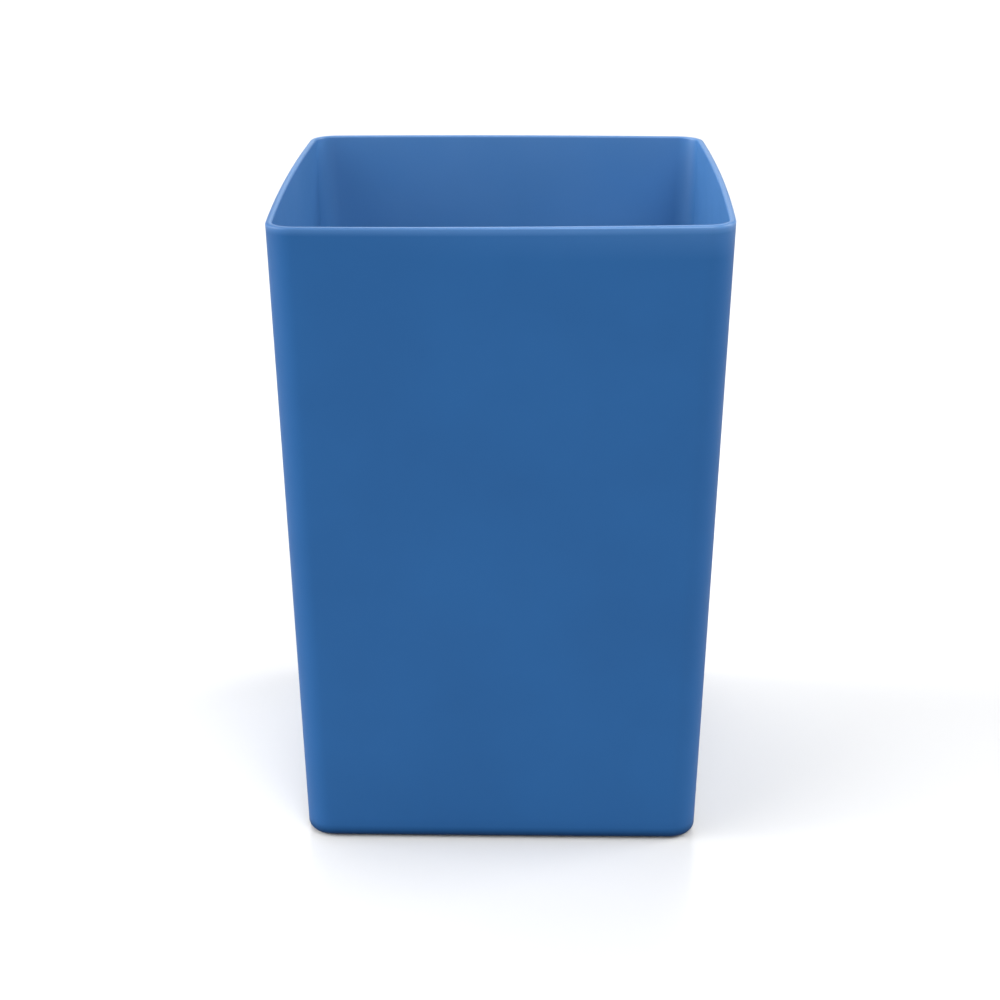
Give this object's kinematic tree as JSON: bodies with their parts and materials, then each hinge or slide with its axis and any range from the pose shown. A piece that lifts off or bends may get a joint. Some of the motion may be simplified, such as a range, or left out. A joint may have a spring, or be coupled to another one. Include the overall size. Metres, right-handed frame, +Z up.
{
  "type": "wastebasket",
  "caption": "Open-topped square wastebasket with tapered, slightly bowed plastic walls, rounded corners, a thickened rounded rim and a raised flat base on anti-slip pads.",
  "frame": {"origin": "centre of the footprint, on the floor the pads stand on", "axes": "+Z up through the open mouth, -Y towards the front wall, +X to the right seen from the front"},
  "size_m": [0.25, 0.25, 0.368],
  "materials": {
    "moulded_shell": "fine spark-eroded mould texture, satin, mid blue",
    "pads": "matte dark grey elastomer"
  },
  "bodies": {
    "root": {"shell": "moulded_shell", "pad_front_left": "pads", "pad_front_right": "pads", "pad_back_left": "pads", "pad_back_right": "pads"}
  },
  "joints": []
}
